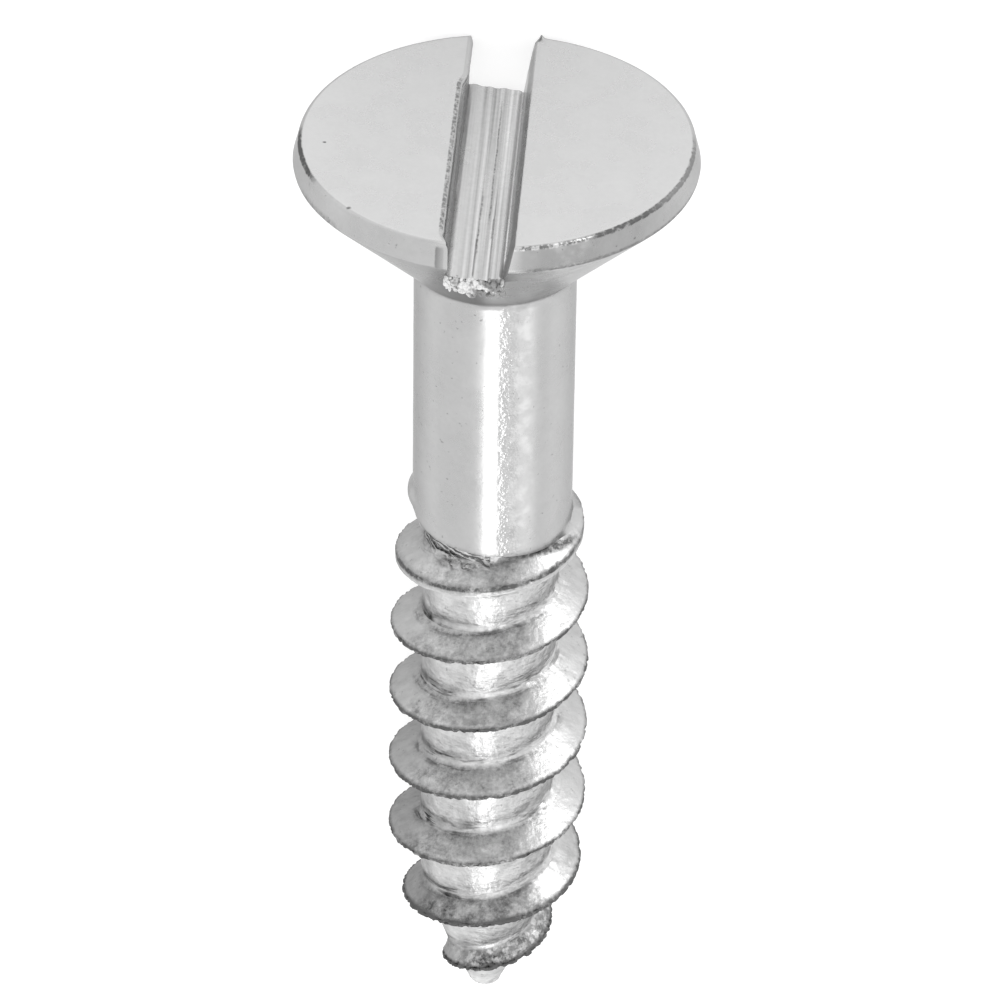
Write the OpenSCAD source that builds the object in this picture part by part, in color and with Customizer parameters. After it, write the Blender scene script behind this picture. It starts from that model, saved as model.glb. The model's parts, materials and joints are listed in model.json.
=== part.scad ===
// Slotted flat head (countersunk) wood screw, one piece of steel.
// It lies as it comes to rest on a table: on the two rim corners beside the
// open end of its slot, and on the crest of the thread near its point.
// The head faces -Y, the point faces +Y, the table top is z = 0, and the
// origin is on the table under the middle of the screw.

/* [Overall] */
// Length from the flat face of the head to the point
screw_l = 25.2; // [22:0.1:32]

/* [Head] */
// Largest diameter of the head, where the rim meets the cone
head_d = 9.42; // [7.6:0.02:11.4]
// Height of the rim above the countersunk cone
rim_h = 0.58; // [0.4:0.02:0.8]
// How far the rim draws in from the cone to the flat face
rim_taper = 0.1; // [0:0.01:0.2]
// Included angle of the countersunk cone
cone_angle = 90; // [82:1:100]
// Small round along the edge of the flat face
rim_edge_r = 0.1; // [0.05:0.01:0.2]

/* [Slot] */
// Width of the driver slot at the flat face
slot_w = 1.6; // [1:0.05:2]
// Depth of the slot, measured midway between its walls
slot_depth = 1.2; // [0.9:0.02:1.5]
// How far each wall of the slot draws in towards the floor
slot_taper = 0.15; // [0:0.01:0.3]
// Lean of the slot, which slopes its floor from wall to wall, in degrees
slot_lean = 6; // [0:0.5:8]
// Distance of the slot's centre line from the screw's axis
slot_offset = 0.13; // [0:0.01:0.3]

/* [Shank] */
// Diameter of the smooth shank
shank_d = 3.82; // [3.6:0.02:4.4]
// Distance from the flat face to the end of the smooth shank
shank_end = 10.5; // [8:0.1:12.6]
// Radius of the fillet between the shank and the cone
neck_r = 0.5; // [0.2:0.05:0.8]
// Small chamfer at the lower end of the shank
shank_edge = 0.06; // [0.02:0.01:0.1]

/* [Thread] */
// Outer diameter of the thread
thread_d = 4.88; // [4.6:0.02:6]
// Diameter of the core between the turns
core_d = 3.24; // [2.8:0.02:3.5]
// Distance from one turn to the next, right-handed
pitch = 2.08; // [1.7:0.02:2.5]
// Length over which the crest rises below the shank
run_in = 1; // [0.6:0.1:2]

/* [Point] */
// Length of the tapered point
point_l = 4; // [3:0.1:5]
// Diameter of the blunt end of the point
nub_d = 0.84; // [0.6:0.02:1.2]

/* [Hidden] */

head_r = head_d / 2;
shank_r = shank_d / 2;
core_r = core_d / 2;
thread_r = thread_d / 2;
nub_r = nub_d / 2;

// Heights along the axis, measured upwards from the point
cone_top = screw_l - rim_h;
cone_bottom = cone_top - (head_r - shank_r) / tan(cone_angle / 2);
shank_bottom = screw_l - shank_end;
nub_z = nub_r / 2;
nub_end_r = 0.6 * nub_r;

// The crest starts inside the shank, comes out of the shank's end at half the
// height of that step, and winds down to its own end beside the nub
turn_steps = 48;
step_z = pitch / turn_steps;
start_share = 0.5 * (shank_r - core_r) / (thread_r - core_r);
thread_top = shank_bottom - run_in * ln(1 - start_share);
thread_bottom = 0.3 * pitch;

// The rolled part reaches one turn up into the shank
first_z = shank_bottom + 0.6 * pitch;
last = floor((first_z - thread_bottom) / step_z);

// One turn of the thread seen in section, steeper on the side of the head:
// distance from the crest along the axis, in pitches, and height above the
// groove, as a share of the full height
profile = [[-0.5, 0], [-0.32, 0], [-0.15, 0.3], [-0.03, 1], [0.03, 1], [0.11, 0.15], [0.24, 0]];
size = len(profile);

// The crests on the underside, up to the first one above the tapered point
rest_turns = ceil(point_l / pitch);
under_z = [for (i = [1 : rest_turns]) (0.21 + i) * pitch];
rest_z = under_z[rest_turns - 1];

// The slot's section, with side = 1 for one wall and -1 for the other: each
// wall runs from the flat face to a corner of the floor
function wall_top(side) = [slot_offset + side * slot_w / 2, screw_l];
function wall_foot(side) =
    let (half_floor = side * (slot_w / 2 - slot_taper))
    wall_top(0) + [
        slot_depth * sin(slot_lean) + half_floor * cos(slot_lean),
        half_floor * sin(slot_lean) - slot_depth * cos(slot_lean)
    ];
function wall_x(side, z) =
    let (top = wall_top(side), foot = wall_foot(side))
    foot[0] + (top[0] - foot[0]) * (z - foot[1]) / (top[1] - foot[1]);

// The rim corners on either side of the slot, seen along the axis
corner_a = asin(wall_x(-1, cone_top) / head_r);
corner_b = asin(wall_x(1, cone_top) / head_r);
rest_roll = (corner_a + corner_b) / 2;
half_slot_a = (corner_b - corner_a) / 2;
rim_rest_r = head_r * cos(half_slot_a);

// The table touches both and the crest that it meets first as the axis leans
// to the point
rest_tilt = min([
    for (z = under_z)
    atan((rim_rest_r - crest_r(z)) / (cone_top - z - profile[3][0] * pitch))
]);
rest_lift = rim_rest_r * cos(rest_tilt) - cone_top * sin(rest_tilt);

// How far the lying screw reaches behind and in front of the point's end, so
// that its middle is over y = 0
face_r = head_r - rim_taper - rim_edge_r;
reach_back = screw_l * cos(rest_tilt) + face_r * cos(half_slot_a) * sin(rest_tilt);
reach_ahead = nub_end_r * sin(rest_tilt);
rest_y = (reach_back - reach_ahead) / 2;

// Radius of the grooves at a height z above the point
function groove_r(z) =
    z > point_l ? core_r
    : core_r - (core_r - nub_r) * pow((point_l - z) / (point_l - nub_z), 1.35);

// Radius of the crest at a height z. It rises below the shank, and on the
// point it follows the taper, loses over half its height and runs out.
function crest_r(z) =
    let (down = max(0, thread_top - z), up = z - thread_bottom)
    let (risen = core_r + (thread_r - core_r) * (1 - exp(-down / run_in)))
    let (kept = min(1, 0.4 + 0.8 * z / point_l, 0.1 + up / (0.1 * pitch)))
    min(risen, groove_r(z) + (thread_r - core_r) * kept);

// A point of the rolled part at a turn angle a, a radius r and a height z
function on_turn(a, r, z) = [r * sin(a), r * cos(a), z];

// Turn angle where the crest is at a height z
function crest_angle(z) = 360 * (rest_z - z) / pitch + 180;

// How far the groove below a crest reaches down: half a turn, less by the nub
function groove_reach(z) = min(0.5 * pitch, 0.8 * (z - nub_z));

// One section across the thread, its crest at a height z
function turn_section(z) = [
    for (p = profile)
    let (level = z + p[0] * (p[0] < 0 ? 2 * groove_reach(z) : pitch))
    let (floor_r = groove_r(level))
    on_turn(crest_angle(z), floor_r + p[1] * (crest_r(z) - floor_r), level)
];

// The rolled part: core, thread and point as one closed skin. Each section
// joins the next along the turn, and its upper edge is the lower edge of the
// section one turn before. The first turn's upper edge closes to a point on
// the axis, and the last turn's lower edge closes to the nub.
module rolled_part() {
    heights = [for (i = [0 : last]) first_z - i * step_z];
    top_edge = [
        for (i = [0 : turn_steps - 1])
        on_turn(crest_angle(heights[i]), core_r, heights[i] + 0.5 * pitch)
    ];
    angles = [for (i = [0 : turn_steps - 1]) crest_angle(heights[last - turn_steps + i])];
    nub_edge = [for (a = angles) on_turn(a, nub_r, nub_z)];
    nub_end = [for (a = angles) on_turn(a, nub_end_r, 0)];
    points = concat(
        [for (z = heights) each turn_section(z)],
        top_edge, nub_edge, nub_end, [[0, 0, first_z]]
    );

    // Where each set of points begins in the list
    top_at = (last + 1) * size;
    nub_at = top_at + turn_steps;
    end_at = nub_at + turn_steps;
    axis_at = end_at + turn_steps;
    function upper(i) = i < turn_steps ? top_at + i : (i - turn_steps) * size;
    function edge(i, j) = j < size ? i * size + j : upper(i);
    function nub(i) = nub_at + (i + turn_steps) % turn_steps;
    base = last - turn_steps;

    polyhedron(points, concat(
        // The grooves and flanks, section to section
        [for (i = [0 : last - 1], j = [0 : size - 1])
            each [[edge(i, j), edge(i + 1, j), edge(i + 1, j + 1)],
                [edge(i, j), edge(i + 1, j + 1), edge(i, j + 1)]]],
        // The upper end, inside the shank
        [for (i = [0 : turn_steps - 1]) [axis_at, upper(i), upper(i + 1)]],
        [for (j = [0 : size - 1]) [axis_at, edge(0, j), edge(0, j + 1)]],
        // The end of the crest, and the skin from the last turn to the nub
        [[for (j = [size - 1 : -1 : 1]) edge(last, j)]],
        [for (p = [[edge(base, 0), edge(last, size - 1)], [edge(last, size - 1), edge(last, 1)],
                [edge(last, 1), edge(last, 0)], [edge(last, 0), nub(0)], [nub(0), nub(1)]])
            [edge(base + 1, 0), p[0], p[1]]],
        [for (i = [1 : turn_steps - 1])
            [edge(base + i, 0), nub(i), nub(i + 1), edge(base + i + 1, 0)]],
        // The nub
        [for (i = [0 : turn_steps - 1])
            [nub(i), end_at + i, end_at + (i + 1) % turn_steps, nub(i + 1)]],
        [[for (i = [turn_steps - 1 : -1 : 0]) end_at + i]]
    ), convexity = 10);
}

// Half outline of the turned part: the head and the shank
module turned_outline() {
    cone_half = cone_angle / 2;
    neck_z = cone_bottom - neck_r * tan(cone_half / 2);
    polygon(concat(
        [
            [0, shank_bottom],
            [shank_r - shank_edge, shank_bottom],
            [shank_r, shank_bottom + shank_edge]
        ],
        [for (a = [0 : cone_half / 3 : cone_half]) [
            shank_r + neck_r * (1 - cos(a)),
            neck_z + neck_r * sin(a)
        ]],
        [
            [head_r, cone_top],
            [head_r - rim_taper, screw_l - rim_edge_r]
        ],
        [for (a = [30 : 30 : 90]) [
            face_r + rim_edge_r * cos(a),
            screw_l - rim_edge_r * (1 - sin(a))
        ]],
        [[0, screw_l]]
    ));
}

// The driver slot, cut right across the head
module slot_cut() {
    above = [0, 1];
    rotate([90, 0, 0])
        linear_extrude(head_d + 2, center = true)
            polygon([
                wall_foot(-1), wall_foot(1),
                wall_top(1), wall_top(1) + above,
                wall_top(-1) + above, wall_top(-1)
            ]);
}

// The screw, laid down on the table
module screw() {
    color("silver")
        translate([0, rest_y, rest_lift])
            rotate([90 - rest_tilt, 0, 0])
                rotate([0, 0, -rest_roll])
                    difference() {
                        union() {
                            rotate_extrude($fn = 96)
                                turned_outline();
                            rolled_part();
                        }
                        slot_cut();
                    }
}

screw();
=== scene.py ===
"""A slotted flat head wood screw of plated steel, lying on a pale table.

Laid out as an add-on: the sizes and finishes are properties, and each operator
makes one piece. The head is meshed from its own outline, row by row. The
shank, the rolled thread and the point follow one rule, which a Geometry Nodes
tree works out from the sizes.
"""

import json
import math

import bmesh
import bpy
import numpy as np
from bpy.props import FloatProperty, IntProperty, PointerProperty
from bpy.types import Operator, Panel, PropertyGroup
from mathutils import Matrix, Vector


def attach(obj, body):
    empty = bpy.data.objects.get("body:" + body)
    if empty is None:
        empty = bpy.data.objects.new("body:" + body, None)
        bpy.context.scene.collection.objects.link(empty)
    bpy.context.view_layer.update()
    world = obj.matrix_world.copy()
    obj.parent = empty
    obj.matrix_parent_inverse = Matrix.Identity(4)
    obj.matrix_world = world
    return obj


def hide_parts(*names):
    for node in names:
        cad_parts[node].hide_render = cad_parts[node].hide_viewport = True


bl_info = {
    "name": "Flat Head Wood Screw",
    "version": (1, 0, 0),
    "blender": (4, 5, 0),
    "location": "3D View > Sidebar > Wood Screw",
    "description": "A slotted flat head wood screw of plated steel on a pale table",
    "category": "Add Mesh",
}

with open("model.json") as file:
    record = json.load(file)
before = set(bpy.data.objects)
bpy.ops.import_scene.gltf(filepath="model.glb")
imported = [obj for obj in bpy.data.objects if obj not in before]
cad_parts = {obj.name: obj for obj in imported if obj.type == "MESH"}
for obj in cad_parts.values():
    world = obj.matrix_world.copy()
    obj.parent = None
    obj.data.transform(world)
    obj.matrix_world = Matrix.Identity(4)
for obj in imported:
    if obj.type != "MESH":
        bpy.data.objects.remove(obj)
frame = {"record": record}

CAD_NODE = "screw"
BODY = "root"
MM = 0.001
TAU = 2 * math.pi

# Columns of the mesh across the slot's floor, and points of a chord across the
# head, from front to back
FLOOR_COLUMNS = 33
CHORD_POINTS = 57
# Turns of rows that the thread's grid has, and how many of them lie above the
# crest that its heights are counted from
GRID_TURNS = 10.0
TURNS_ABOVE = 6.5
# How far a step down along a 45 degree cone goes inwards, and how far down
CONE_SLOPE = 0.707


# ---------------------------------------------------------------- properties


def length(name, description, millimetres):
    """A size of the screw, stored in metres."""
    return FloatProperty(
        name=name,
        description=description,
        default=millimetres * MM,
        min=0.0,
        precision=6,
        subtype="DISTANCE",
        unit="LENGTH",
    )


def tilt(name, description, degrees):
    """An angle, stored in radians."""
    return FloatProperty(
        name=name,
        description=description,
        default=math.radians(degrees),
        subtype="ANGLE",
        unit="ROTATION",
    )


def count(name, description, default, least):
    """A number of faces."""
    return IntProperty(name=name, description=description, default=default, min=least)


def share(name, description, default):
    """A plain number from 0 to 1."""
    return FloatProperty(
        name=name, description=description, default=default, min=0.0, max=1.0, subtype="FACTOR"
    )


class HeadSizes(PropertyGroup):
    """Sizes of the head and its slot."""

    screw_length: length("Length", "From the flat face to the point", 25.2)
    radius: length("Head radius", "Radius of the head where the rim meets the cone", 4.71)
    rim_height: length("Rim height", "Rim above the cone", 0.58)
    rim_taper: length("Rim taper", "How far the rim draws in towards the face", 0.11)
    edge_round: length("Edge round", "Round between the face and the rim", 0.12)
    neck_round: length("Neck fillet", "Fillet between the cone and the shank", 0.5)
    cone_angle: tilt("Cone angle", "Included angle of the countersunk cone", 90)
    slot_width: length("Slot width", "Width of the driver slot", 1.6)
    slot_depth: length("Slot depth", "Depth midway between the slot's walls", 1.2)
    slot_taper: length("Slot taper", "How far each wall draws in towards the floor", 0.15)
    slot_offset: length("Slot offset", "Slot's centre line from the axis", 0.13)
    slot_lean: tilt("Slot lean", "Lean of the slot, which slopes its floor", 6)
    lip: length("Slot lip", "Width of the worn lip along the slot's left edge", 0.15)
    sharp_lip: length("Sharp slot lip", "Width of the lip along the slot's right edge", 0.03)


class ThreadSizes(PropertyGroup):
    """Sizes of the shank, the rolled thread and the point."""

    shank_radius: length("Shank radius", "Radius of the smooth shank", 1.91)
    shank_end: length("Shank end", "From the flat face to the end of the shank", 10.57)
    end_slant: length("End slant", "How much the shank's end leans round the screw", 0.14)
    crest_radius: length("Crest radius", "Outer radius of the full thread", 2.43)
    core_radius: length("Core radius", "Radius between the turns", 1.62)
    pitch: length("Pitch", "From one turn to the next, right-handed", 2.08)
    crest_height: length("Crest height", "Height of a crest on the underside", 4.5968)
    point_length: length("Point length", "Length of the tapered point", 4.0)
    nub_radius: length("Nub radius", "Radius of the blunt end", 0.42)
    columns: count("Columns", "Faces around the screw", 240, 24)
    turn_rows: count("Rows per turn", "Rows of faces from crest to crest", 36, 8)
    shank_rows: count("Shank rows", "Rows of faces along the shank", 50, 4)


class FinishSettings(PropertyGroup):
    """Colour and wear of the plated steel."""

    tone: share("Plating tone", "Grey of the clean plating", 0.46)
    face_tone: share("Face tone", "Grey of the flat face", 0.57)
    flank_tone: share("Flank tone", "Grey of the thread's flanks", 0.42)
    # Grey of dark specks and crest lines, and of the painted shade at the flanks' feet and below
    # the shank's end
    specks_lines_and_shade_tone: share("Grime tone", "Grey of the dark film on crests and in corners", 0.12)
    roughness: share("Roughness", "Roughness of the satin plating", 0.28)


class StageSettings(PropertyGroup):
    """The camera and the light."""

    distance: length("Camera distance", "From the camera to its aim", 155.659)
    aim_height: length("Aim height", "The aim's height on the screw's axis", 14.93)
    aim_aside: length("Aim aside", "How far the aim is off the axis towards -X", 0.182)
    azimuth: tilt("Azimuth", "Turn about the vertical, from the head's side", -1.22866)
    elevation: tilt("Elevation", "Angle above the table", 60.41818)
    roll: tilt("Roll", "Camera's turn about its own line of sight", -177.69697)
    lens: FloatProperty(name="Lens", description="Focal length", default=234.0, unit="CAMERA")


# ------------------------------------------------------------- node networks


class Field:
    """One output in a node tree. Python's own operators on it add Math nodes."""

    def __init__(self, net, socket):
        self.net = net
        self.socket = socket

    def __add__(self, other):
        return self.net.maths("ADD", self, other)

    def __sub__(self, other):
        return self.net.maths("SUBTRACT", self, other)

    def __rsub__(self, other):
        return self.net.maths("SUBTRACT", other, self)

    def __mul__(self, other):
        return self.net.maths("MULTIPLY", self, other)

    def __truediv__(self, other):
        return self.net.maths("DIVIDE", self, other)

    def __rtruediv__(self, other):
        return self.net.maths("DIVIDE", other, self)

    def __pow__(self, other):
        return self.net.maths("POWER", self, other)

    def __neg__(self):
        return self.net.maths("MULTIPLY", self, -1.0)

    __radd__ = __add__
    __rmul__ = __mul__

    def output(self, name):
        """Another output of the same node."""
        return Field(self.net, self.net.pick(self.socket.node.outputs, name))


class Net:
    """Adds nodes to one tree, for a material or for geometry."""

    def __init__(self, tree):
        self.tree = tree

    @staticmethod
    def pick(sockets, key):
        """A socket by its number, or the first one in use that has this name."""
        if isinstance(key, int):
            return sockets[key]
        return next(s for s in sockets if s.name == key and s.enabled)

    def add(self, kind, settings=None, inputs=None, out=0):
        """A new node with its settings made first, then its inputs set or linked."""
        node = self.tree.nodes.new(kind)
        for name, value in (settings or {}).items():
            setattr(node, name, value)
        for key, value in (inputs or {}).items():
            socket = self.pick(node.inputs, key)
            if isinstance(value, Field):
                self.tree.links.new(value.socket, socket)
            else:
                socket.default_value = value
        if not node.outputs:
            return node
        return Field(self, self.pick(node.outputs, out))

    def maths(self, operation, first, second=None, third=None):
        """One Math node."""
        inputs = {0: first, 1: second, 2: third}
        inputs = {key: value for key, value in inputs.items() if value is not None}
        return self.add("ShaderNodeMath", {"operation": operation}, inputs)

    def clamp(self, value, low=0.0, high=1.0):
        """The value, kept from low to high."""
        return self.maths("MINIMUM", self.maths("MAXIMUM", value, low), high)

    def ramp(self, value, low, high):
        """Smoothly from 0 at low to 1 at high, which may be the lesser one."""
        settings = {"interpolation_type": "SMOOTHSTEP", "clamp": True}
        return self.add(
            "ShaderNodeMapRange", settings, {"Value": value, "From Min": low, "From Max": high}
        )

    def band(self, value, rise, fall):
        """Up over the range rise, and down again over the range fall."""
        return self.ramp(value, *rise) * self.ramp(value, fall[1], fall[0])

    def around(self, value, centre, reach, core=0.0):
        """1 within core of a centre and 0 beyond reach."""
        return self.ramp(self.maths("ABSOLUTE", value - centre), reach, core)

    def growth(self, value, most):
        """e to the power of a value, which counts up to most."""
        return self.maths("EXPONENT", self.clamp(value, -20.0, most))

    def either(self, choice, yes, no):
        """yes where choice is 1 and no where it is 0."""
        return no + (yes - no) * choice

    def store(self, geometry, name, value):
        """Keeps a number on each point of the geometry, under a name."""
        settings = {"data_type": "FLOAT", "domain": "POINT"}
        inputs = {"Geometry": geometry, "Name": name, "Value": value}
        return self.add("GeometryNodeStoreNamedAttribute", settings, inputs)

    def kept(self, name):
        """A number kept on each point, read back in geometry."""
        return self.add("GeometryNodeInputNamedAttribute", {"data_type": "FLOAT"}, {"Name": name})

    def parts(self, vector):
        """The three numbers of a vector."""
        split = self.add("ShaderNodeSeparateXYZ", None, {0: vector})
        return split, split.output("Y"), split.output("Z")

    def stretched(self, x, y, z, squeeze):
        """A place whose height counts more, which turns lumps into level streaks."""
        return self.add("ShaderNodeCombineXYZ", None, {"X": x, "Y": y, "Z": z * squeeze})

    def milling(self, x, y, unit):
        """Noise in fine lines along y, as a cutter leaves them."""
        place = self.add("ShaderNodeCombineXYZ", None, {"X": x, "Y": y * 0.008})
        settings = {"noise_dimensions": "2D"}
        inputs = {"Vector": place, "Scale": 1.0 / (0.10 * unit), "Detail": 2.0}
        return self.add("ShaderNodeTexNoise", settings, inputs)

    def noise(self, place, size, detail, roughness, seed):
        """Noise whose lumps are about as large as size, around 0.5."""
        settings = {"noise_dimensions": "4D"}
        inputs = {
            "Vector": place,
            "W": seed,
            "Scale": 1.0 / size,
            "Detail": detail,
            "Roughness": roughness,
        }
        return self.add("ShaderNodeTexNoise", settings, inputs)


# -------------------------------------------------------------------- the head


class Skin:
    """Collects faces from patches of points; points at the same place are one.
    Each patch may mark its points, for the finish."""

    def __init__(self):
        self.index = {}
        self.points = []
        self.faces = []
        self.marks = {}

    def point(self, place):
        """The number of the point at a place."""
        key = tuple(round(c * 1e8) for c in place)
        if key not in self.index:
            self.index[key] = len(self.points)
            self.points.append(tuple(place))
        return self.index[key]

    def patch(self, rows, mark=None):
        """Faces between rows of points, with three corners where two are one."""
        grid = [[self.point(p) for p in row] for row in rows]
        if mark:
            self.marks.setdefault(mark, set()).update(i for row in grid for i in row)
        for a, b in zip(grid, grid[1:]):
            for i in range(len(a) - 1):
                quad = (a[i], b[i], b[i + 1], a[i + 1])
                face = list(dict.fromkeys(quad))
                if len(face) > 2:
                    self.faces.append(face)

    def mesh(self, name):
        """The faces as a mesh, with each mark as 1 on its points."""
        mesh = bpy.data.meshes.new(name)
        mesh.from_pydata(self.points, [], self.faces)
        for mark, members in self.marks.items():
            values = mesh.attributes.new(mark, "FLOAT", "POINT")
            for i in members:
                values.data[i].value = 1.0
        return mesh


def head_rows(head, shank_radius):
    """Outline of the turned head as (height, radius), from the face's edge down
    to a ring on the shank just under the neck."""
    top, wide, edge = head.screw_length, head.radius, head.edge_round
    neck_round = head.neck_round
    half = head.cone_angle / 2
    cone_top = top - head.rim_height
    cone_bottom = cone_top - (wide - shank_radius) / math.tan(half)
    narrow = wide - head.rim_taper
    rows = [
        (top - edge * (1 - math.cos(turn)), narrow - edge * (1 - math.sin(turn)))
        for turn in np.linspace(0, math.pi / 2, 7)
    ]
    corner = 0.05 * MM
    for part in np.linspace(0, 1, 8)[1:]:
        height = top - edge + (cone_top + corner - top + edge) * part
        rows.append((height, narrow + (wide - narrow) * part))
    rows.append((cone_top, wide - 0.2 * corner))
    foot = cone_bottom + neck_round * math.tan(half / 2) * math.cos(half)
    for height in np.linspace(cone_top - corner, foot, 22):
        rows.append((height, wide - (cone_top - height) * math.tan(half)))
    neck = cone_bottom - neck_round * math.tan(half / 2)
    for turn in np.linspace(half, 0, 7)[1:]:
        height = neck + neck_round * math.sin(turn)
        rows.append((height, shank_radius + neck_round * (1 - math.cos(turn))))
    rows.append((neck - 0.3 * MM, shank_radius))
    return rows


def wall_foot(head, side):
    """Where a wall of the slot meets the floor, as (x, height)."""
    half = side * (head.slot_width / 2 - head.slot_taper)
    sine, cosine = math.sin(head.slot_lean), math.cos(head.slot_lean)
    return (
        head.slot_offset + head.slot_depth * sine + half * cosine,
        head.screw_length - head.slot_depth * cosine + half * sine,
    )


def wall_x(head, side, height):
    """Where a wall of the slot stands at a height."""
    foot_x, foot = wall_foot(head, side)
    top_x = head.slot_offset + side * head.slot_width / 2
    return foot_x + (top_x - foot_x) * (height - foot) / (head.screw_length - foot)


def slot_walls(head, heights, rim_row, last_row):
    """Points down each wall of the slot, as (x, height). Its upper edge is worn
    round, more so on the left."""
    walls = {}
    for side, width in ((-1, head.sharp_lip), (1, head.lip)):
        bottom = wall_foot(head, side)[1]
        walls[side] = []
        for k in range(last_row + 1):
            height = heights[k]
            if k > rim_row:
                part = (k - rim_row) / (last_row - rim_row)
                height = heights[rim_row] + (bottom - heights[rim_row]) * part
            down = min((head.screw_length - height) / width, 1)
            lip = width * (1 - math.sqrt(1 - (1 - down) ** 2))
            walls[side].append((wall_x(head, side, height) + side * lip, height))
    return walls


def slot_floor(walls):
    """Points between the feet of the walls, with the waves that a cutter left."""
    (right_x, right_z), (left_x, left_z) = walls[-1][-1], walls[1][-1]
    floor = []
    for i in range(1, FLOOR_COLUMNS + 1):
        part = i / (FLOOR_COLUMNS + 1)
        waves = 0.012 * math.sin(7 * part + 0.6) + 0.008 * math.sin(23 * part)
        level = right_z + (left_z - right_z) * part
        floor.append((right_x + (left_x - right_x) * part, level + waves * MM))
    return floor


def head_skin(head, thread):
    """The slotted head down to a ring on the shank, as an open mesh."""
    rows = head_rows(head, thread.shank_radius)
    heights = np.array([r[0] for r in rows])
    radii = np.array([r[1] for r in rows])
    top = head.screw_length

    def radius_at(height):
        return float(np.interp(height, heights[::-1], radii[::-1]))

    # Rows that the slot's walls reach
    last_wall = int(np.argmin(np.abs(heights - (top - head.slot_depth))))
    rim_row = int(np.argmin(np.abs(heights - (top - head.rim_height))))
    walls = slot_walls(head, heights, rim_row, last_wall)
    floor = slot_floor(walls)

    # Columns around the front half, from -90 to 90 degrees
    half_count = thread.columns // 2
    right_edge = math.asin(walls[-1][0][0] / radii[0])
    left_edge = math.asin(walls[1][0][0] / radii[0])
    face_count = half_count + 1 - FLOOR_COLUMNS
    right_share = (right_edge + math.pi / 2) / (right_edge + math.pi - left_edge)
    right_count = round(face_count * right_share)
    right_angles = np.linspace(-math.pi / 2, right_edge, right_count)
    left_angles = np.linspace(left_edge, math.pi / 2, face_count - right_count)
    first_floor = right_count - 1
    last_floor = right_count + FLOOR_COLUMNS

    # The face and the slot run from front to back in chords, closer at the ends
    stretch = np.linspace(-1, 1, CHORD_POINTS)
    stretch = 0.7 * stretch + 0.3 * np.sin(stretch * math.pi / 2)
    skin = Skin()

    def chords(places):
        reaches = [math.sqrt(max(radius_at(z) ** 2 - x * x, 0.0)) for x, z in places]
        return [[(x, reach * s, z) for s in stretch] for (x, z), reach in zip(places, reaches)]

    def face_chords(angles):
        reach = radii[0]
        return [
            [(reach * math.sin(a), reach * math.cos(a) * s, top) for s in stretch] for a in angles
        ]

    skin.patch(face_chords(right_angles), "face")
    skin.patch(chords(walls[-1]), "wall")
    skin.patch(chords([walls[-1][-1], *floor, walls[1][-1]]), "floor")
    skin.patch(chords(walls[1][::-1]), "wall")
    skin.patch(face_chords(left_angles), "face")

    # The outside of the head, front and back
    below = last_wall + 1
    final = len(rows) - 1

    def settled(start_angle, target, height):
        """Columns turn from their place at the slot to even spacing below it."""
        part = (heights[below] - height) / (heights[below] - heights[final])
        part = min(max(part, 0.0), 1.0)
        return start_angle + (target - start_angle) * part * part * (3 - 2 * part)

    def column(i, side):
        """Points of column i, in front or behind, from its start down to the
        last ring."""
        if i in (first_floor, last_floor):
            wall = walls[-1] if i == first_floor else walls[1]
            points = [(math.asin(x / radius_at(z)), z, radius_at(z)) for x, z in wall]
            angle = math.asin(wall[-1][0] / radii[below])
        elif first_floor < i < last_floor:
            x, z = floor[i - right_count]
            points = [(math.asin(x / radius_at(z)), z, radius_at(z))] * below
            angle = math.asin(x / radii[below])
        else:
            angle = right_angles[i] if i < first_floor else left_angles[i - last_floor]
            points = [(angle, heights[k], radii[k]) for k in range(below)]
        target = -math.pi / 2 + math.pi * i / half_count
        for k in range(below, final + 1):
            points.append((settled(angle, target, heights[k]), heights[k], radii[k]))
        return [(r * math.sin(a), side * r * math.cos(a), z) for a, z, r in points]

    for side in (-1, 1):
        columns = [column(i, side) for i in range(half_count + 1)]
        for i in range(half_count):
            start = last_wall if first_floor <= i < last_floor else 0
            skin.patch([columns[i][start:], columns[i + 1][start:]])
    return skin


# ------------------------------------------- the shank, the thread and the point


def named(sizes, counts, steel):
    """Inputs of a tree by name: each one's type and value."""
    inputs = {name: ("NodeSocketFloat", value) for name, value in sizes.items()}
    inputs.update({name: ("NodeSocketInt", value) for name, value in counts.items()})
    return {**inputs, "Steel": ("NodeSocketMaterial", steel)}


def thread_inputs(head, thread, steel):
    """Named inputs of the thread's tree."""
    sizes = {
        "Face Height": head.screw_length,
        "Ring Height": head_rows(head, thread.shank_radius)[-1][0],
        "Shank End": head.screw_length - thread.shank_end,
        "End Slant": thread.end_slant,
        "Shank Radius": thread.shank_radius,
        "Crest Radius": thread.crest_radius,
        "Core Radius": thread.core_radius,
        "Pitch": thread.pitch,
        "Crest Height": thread.crest_height,
        "Point Length": thread.point_length,
        "Nub Radius": thread.nub_radius,
    }
    counts = {
        "Columns": thread.columns,
        "Rows per Turn": thread.turn_rows,
        "Shank Rows": thread.shank_rows,
    }
    return named(sizes, counts, steel)


def shank_end(net, size, angle):
    """Height of the shank's end, which leans round the screw."""
    return size["Shank End"] + size["End Slant"] * net.maths("SINE", angle)


def thread_start(size):
    """Height near which the crest comes out of the shank."""
    return size["Shank End"] + 0.45 * MM


def late(net, size, height):
    """How far the first turn lags behind an even helix."""
    return 0.44 * MM * net.growth((height - thread_start(size)) / (1.5 * MM), 1.0)


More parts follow.
